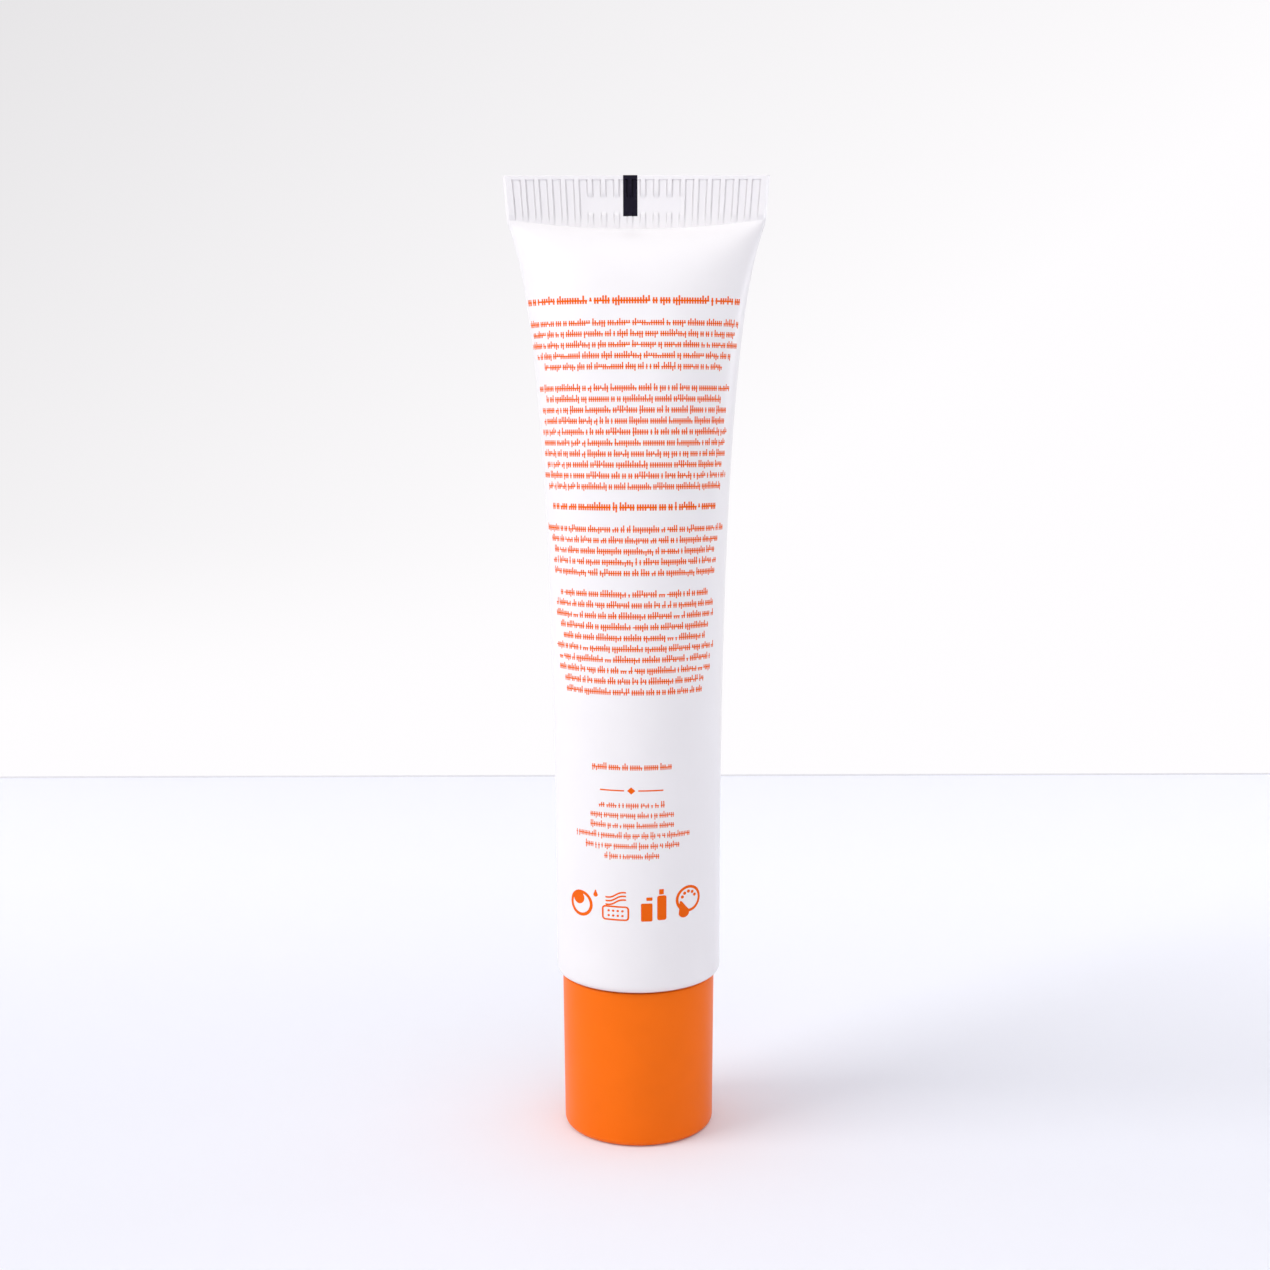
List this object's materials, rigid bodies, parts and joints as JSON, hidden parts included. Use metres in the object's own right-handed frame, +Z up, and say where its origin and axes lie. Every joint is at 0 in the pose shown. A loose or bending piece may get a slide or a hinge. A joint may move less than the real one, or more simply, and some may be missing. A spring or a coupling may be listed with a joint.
{
  "type": "squeeze tube with screw cap",
  "caption": "White squeeze tube with a flat ribbed end seal, standing upside down on its plain orange screw cap.",
  "frame": {"origin": "centre of the cap's end, on the surface that the tube stands on", "axes": "+Z up along the tube's axis to the end seal, +X along the seal's width, -Y the printed front"},
  "size_m": [0.039, 0.025, 0.1433],
  "materials": {
    "cap_orange": "satin polypropylene, moulded",
    "disc_foam": "foamed polyethylene",
    "head_white": "moulded polyethylene",
    "sleeve_white": "satin polyethylene",
    "cream_fill": "thick cream",
    "print_orange": "orange screen ink on the sleeve",
    "mark_dark": "dark ink of the cut mark on the seal"
  },
  "bodies": {
    "cap": {"cap": "cap_orange"},
    "disc": {"seal_disc": "disc_foam"},
    "tube": {"tube_head": "head_white", "sleeve": "sleeve_white", "cream": "cream_fill"}
  },
  "joints": [
    {"name": "cap_turn", "type": "hinge", "parent": "cap", "child": "disc", "pos_m": [0, 0, 0.0135], "axis": [0, 0, 1], "range_deg": [0, 1260]},
    {"name": "cap_lift", "type": "slide", "parent": "disc", "child": "tube", "axis": [0, 0, 1], "range_m": [0, 0.0105]}
  ],
  "couplings": [
    {"joint": "cap_lift", "follows": "cap_turn", "m_per_rad": 0.00047746}
  ]
}
